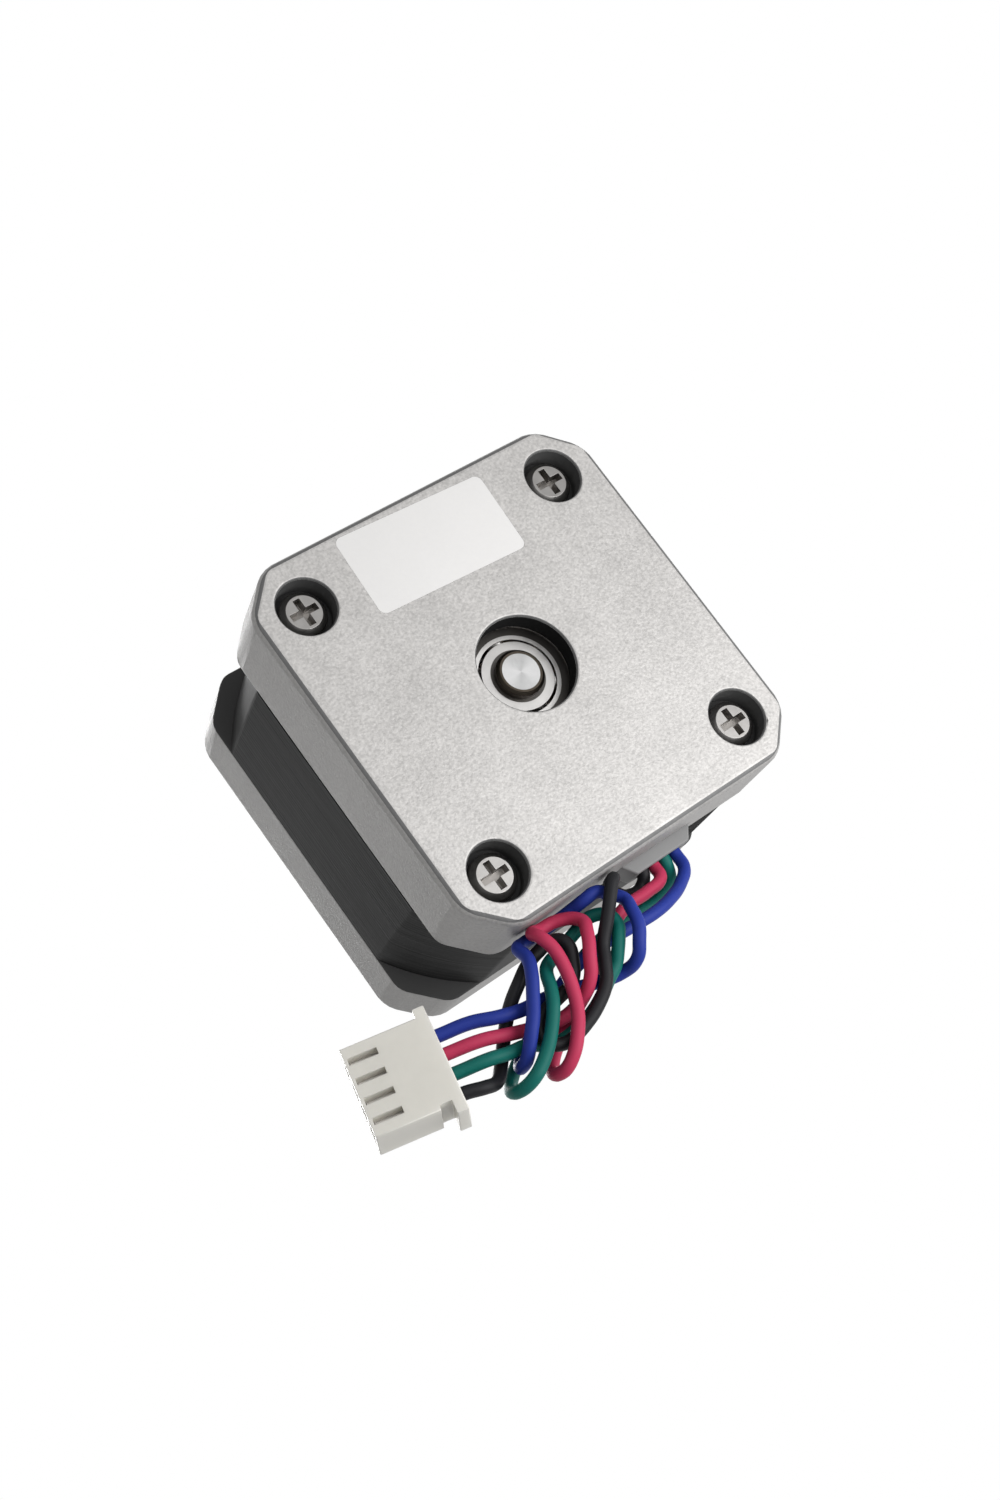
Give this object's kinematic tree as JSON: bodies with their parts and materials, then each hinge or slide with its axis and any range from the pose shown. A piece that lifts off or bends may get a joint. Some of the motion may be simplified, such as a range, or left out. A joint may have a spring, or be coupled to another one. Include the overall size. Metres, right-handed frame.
{
  "type": "stepper motor",
  "caption": "Short square hybrid stepper motor with a round shaft, screwed end covers and coloured leads in a small crimp connector.",
  "frame": {"origin": "centre of the front mounting face, on the shaft axis", "axes": "+Z out along the output shaft; the leads leave on the -Y side; the screw holes lie on the X and Y diagonals"},
  "size_m": [0.0598, 0.0553, 0.055],
  "materials": {
    "cast": "sandblasted",
    "plated_steel": "bright",
    "label": "satin",
    "outlet": "matte",
    "stack": "satin",
    "insulator": "matte",
    "copper": "satin",
    "shaft": "ground",
    "rotor_steel": "ground",
    "magnet": "matte",
    "bearing_steel": "ground",
    "shield": "pressed",
    "cage": "pressed",
    "connector": "satin",
    "contact": "tinned",
    "red_pvc": "satin",
    "blue_pvc": "satin",
    "green_pvc": "satin",
    "black_pvc": "satin"
  },
  "bodies": {
    "housing": {"front_flange": "cast", "rear_cover": "cast", "cover_screws": "plated_steel", "label": "label", "lead_outlet": "outlet", "stator_core": "stack", "front_insulator": "insulator", "rear_insulator": "insulator", "phase_a_coils": "copper", "phase_b_coils": "copper", "front_outer_ring": "bearing_steel", "front_shields": "shield", "rear_outer_ring": "bearing_steel", "rear_shields": "shield", "wave_washer": "shield", "connector_housing": "connector", "connector_terminals": "contact", "red_wire": "red_pvc", "blue_wire": "blue_pvc", "green_wire": "green_pvc", "black_wire": "black_pvc"},
    "rotor": {"shaft": "shaft", "front_rotor_cup": "rotor_steel", "rear_rotor_cup": "rotor_steel", "rotor_magnet": "magnet", "front_spacer": "shaft", "rear_spacer": "shaft", "front_inner_ring": "bearing_steel", "rear_inner_ring": "bearing_steel"},
    "front_ball_set": {"front_balls": "bearing_steel", "front_cage": "cage"},
    "rear_ball_set": {"rear_balls": "bearing_steel", "rear_cage": "cage"}
  },
  "joints": [
    {"name": "rotor_spin", "type": "hinge", "parent": "housing", "child": "rotor", "pos_m": [0, 0, 0], "axis": [0, 0, 1], "continuous": true},
    {"name": "front_ball_spin", "type": "hinge", "parent": "housing", "child": "front_ball_set", "pos_m": [0, 0, -0.0026], "axis": [0, 0, 1], "continuous": true},
    {"name": "rear_ball_spin", "type": "hinge", "parent": "housing", "child": "rear_ball_set", "pos_m": [0, 0, -0.026], "axis": [0, 0, 1], "continuous": true}
  ],
  "couplings": [
    {"joint": "front_ball_spin", "follows": "rotor_spin", "ratio": 0.3804},
    {"joint": "rear_ball_spin", "follows": "rotor_spin", "ratio": 0.3804}
  ]
}
